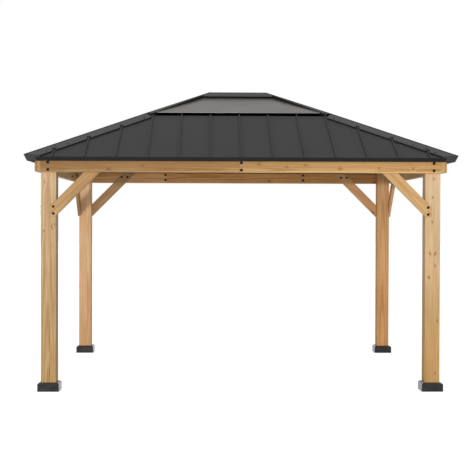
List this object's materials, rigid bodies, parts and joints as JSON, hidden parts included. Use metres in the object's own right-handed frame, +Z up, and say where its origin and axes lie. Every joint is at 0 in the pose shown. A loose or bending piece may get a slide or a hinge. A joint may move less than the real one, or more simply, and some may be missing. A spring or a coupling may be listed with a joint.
{
  "type": "timber-framed hardtop gazebo",
  "caption": "Open cedar post-and-beam shelter with knee braces under a dark standing-seam steel hip roof with a tinted skylight band and crown cap.",
  "frame": {"origin": "on the ground at the middle of the plan", "axes": "+X along the long side, to the right seen from the front; +Y from front to back; +Z up"},
  "size_m": [3.969, 3.36, 2.9412],
  "materials": {
    "cedar": "honey-brown stained softwood with grain and knots",
    "roof_steel": "dark grey powder coat, low sheen",
    "frame_steel": "black powder coat, satin",
    "tinted_pane": "bronze-grey tinted twin-wall sheet, soft sheen",
    "cover_plastic": "moulded charcoal plastic, fine texture"
  },
  "bodies": {
    "root": {"base_cover_back_left": "cover_plastic", "base_cover_back_right": "cover_plastic", "base_cover_front_left": "cover_plastic", "base_cover_front_right": "cover_plastic", "beam_back_inner": "cedar", "beam_back_outer": "cedar", "beam_front_inner": "cedar", "beam_front_outer": "cedar", "beam_left_inner": "cedar", "beam_left_outer": "cedar", "beam_right_inner": "cedar", "beam_right_outer": "cedar", "brace_back_left_x": "cedar", "brace_back_left_y": "cedar", "brace_back_right_x": "cedar", "brace_back_right_y": "cedar", "brace_front_left_x": "cedar", "brace_front_left_y": "cedar", "brace_front_right_x": "cedar", "brace_front_right_y": "cedar", "common_rafters": "frame_steel", "crown_cap": "roof_steel", "eave_trim_back": "roof_steel", "eave_trim_front": "roof_steel", "eave_trim_left": "roof_steel", "eave_trim_right": "roof_steel", "foot_plates": "frame_steel", "hip_cap_back_left": "roof_steel", "hip_cap_back_right": "roof_steel", "hip_cap_front_left": "roof_steel", "hip_cap_front_right": "roof_steel", "hip_rafters": "frame_steel", "post_back_left": "cedar", "post_back_right": "cedar", "post_front_left": "cedar", "post_front_right": "cedar", "rafter_brackets": "frame_steel", "ridge_block": "frame_steel", "roof_panels_back": "roof_steel", "roof_panels_front": "roof_steel", "roof_panels_left": "roof_steel", "roof_panels_right": "roof_steel", "skylight_pane_back": "tinted_pane", "skylight_pane_front": "tinted_pane", "skylight_pane_left": "tinted_pane", "skylight_pane_right": "tinted_pane", "skylight_purlins": "frame_steel", "skylight_sill": "frame_steel"}
  },
  "joints": []
}
